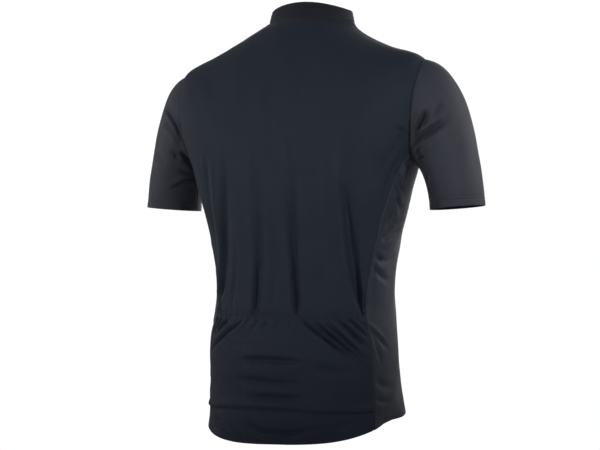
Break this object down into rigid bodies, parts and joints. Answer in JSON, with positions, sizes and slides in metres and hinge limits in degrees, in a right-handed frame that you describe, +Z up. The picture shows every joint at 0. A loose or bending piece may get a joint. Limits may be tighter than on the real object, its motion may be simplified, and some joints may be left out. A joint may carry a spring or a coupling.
{
  "type": "cycling jersey",
  "caption": "Short-sleeved cycling jersey in its worn shape, with a stand-up collar, a front zip and elasticated rear pockets over a dropped tail.",
  "frame": {"origin": "middle of the neck opening at the height of the back neck seam, where the wearer's neck and shoulders hold the jersey", "axes": "+X towards the wearer's left, +Y towards the wearer's back, +Z up"},
  "size_m": [0.5916, 0.2554, 0.7078],
  "materials": {
    "back_knit": "matt fine knit, near-black navy",
    "side_knit": "matt open mesh knit, near-black navy",
    "sleeve_knit": "smooth stretch knit with a slight sheen, near-black navy",
    "band_elastic": "ribbed elastic, near-black navy",
    "zip_cloth": "woven zip tape and coil, black",
    "zip_metal": "dark painted metal, satin"
  },
  "bodies": {
    "jersey": {"back_panel": "back_knit", "front_left": "sleeve_knit", "front_right": "sleeve_knit", "side_panel_left": "side_knit", "side_panel_right": "side_knit", "sleeve_left": "sleeve_knit", "sleeve_right": "sleeve_knit", "collar": "sleeve_knit", "pocket_panel": "back_knit", "pocket_band": "band_elastic", "zip_tape": "zip_cloth", "zip_slider": "zip_metal"},
    "pull": {"zip_pull": "zip_metal"}
  },
  "joints": [
    {"name": "pull_swing", "type": "hinge", "parent": "jersey", "child": "pull", "pos_m": [0, -0.06693, -0.03921], "axis": [-1, 0, 0], "range_deg": [0, 165]}
  ]
}
